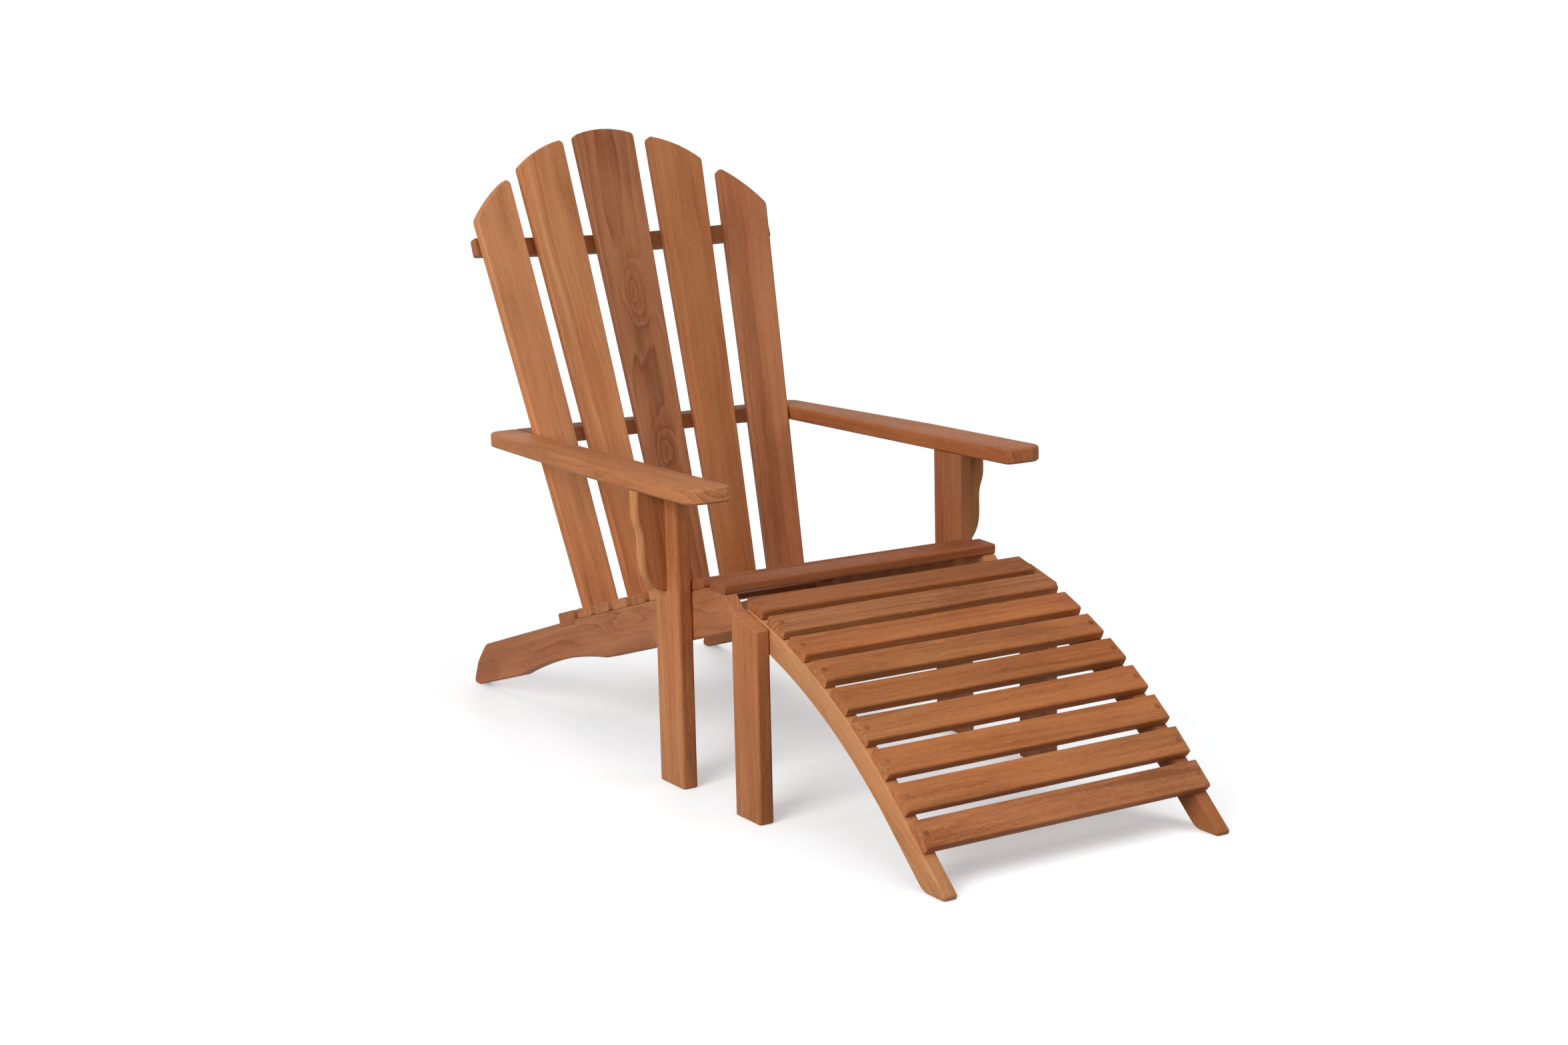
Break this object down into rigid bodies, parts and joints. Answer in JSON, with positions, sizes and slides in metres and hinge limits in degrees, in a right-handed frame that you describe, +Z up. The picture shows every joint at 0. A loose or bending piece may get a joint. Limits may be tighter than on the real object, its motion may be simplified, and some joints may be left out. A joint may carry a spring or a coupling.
{
  "type": "adirondack chair",
  "caption": "Slatted hardwood adirondack chair with fanned arched back, flat arms on bracketed legs, sloping rails as rear feet, and a separate curved slatted footrest.",
  "frame": {"origin": "on the floor, under the middle of the chair with its footrest", "axes": "+X across the seat to the right of someone facing the chair, +Y to the rear, +Z up"},
  "size_m": [0.704, 1.583, 1.0671],
  "materials": {
    "teak_frame": "oiled teak, satin",
    "teak_arm": "oiled teak, satin",
    "teak_seat": "oiled teak, satin",
    "teak_back": "oiled teak, satin",
    "teak_footrest": "oiled teak, satin"
  },
  "bodies": {
    "chair": {"side_rail_left": "teak_frame", "side_rail_right": "teak_frame", "front_leg_left": "teak_frame", "front_leg_right": "teak_frame", "arm_left": "teak_arm", "arm_right": "teak_arm", "arm_bracket_left": "teak_frame", "arm_bracket_right": "teak_frame", "seat_slat_1": "teak_seat", "seat_slat_2": "teak_seat", "seat_slat_3": "teak_seat", "seat_slat_4": "teak_seat", "seat_slat_5": "teak_seat", "seat_slat_6": "teak_seat", "seat_slat_7": "teak_seat", "seat_slat_8": "teak_seat", "seat_board_rear": "teak_seat", "back_slat_1": "teak_back", "back_slat_2": "teak_back", "back_slat_3": "teak_back", "back_slat_4": "teak_back", "back_slat_5": "teak_back", "back_rail_upper": "teak_back", "back_rail_lower": "teak_back"},
    "footrest": {"foot_rail_left": "teak_footrest", "foot_rail_right": "teak_footrest", "foot_leg_left": "teak_footrest", "foot_leg_right": "teak_footrest", "foot_slat_1": "teak_footrest", "foot_slat_2": "teak_footrest", "foot_slat_3": "teak_footrest", "foot_slat_4": "teak_footrest", "foot_slat_5": "teak_footrest", "foot_slat_6": "teak_footrest", "foot_slat_7": "teak_footrest", "foot_slat_8": "teak_footrest", "foot_slat_9": "teak_footrest"}
  },
  "joints": [
    {"name": "footrest_pull", "type": "slide", "parent": "chair", "child": "footrest", "axis": [0, -1, 0], "range_m": [0, 0.4]}
  ]
}
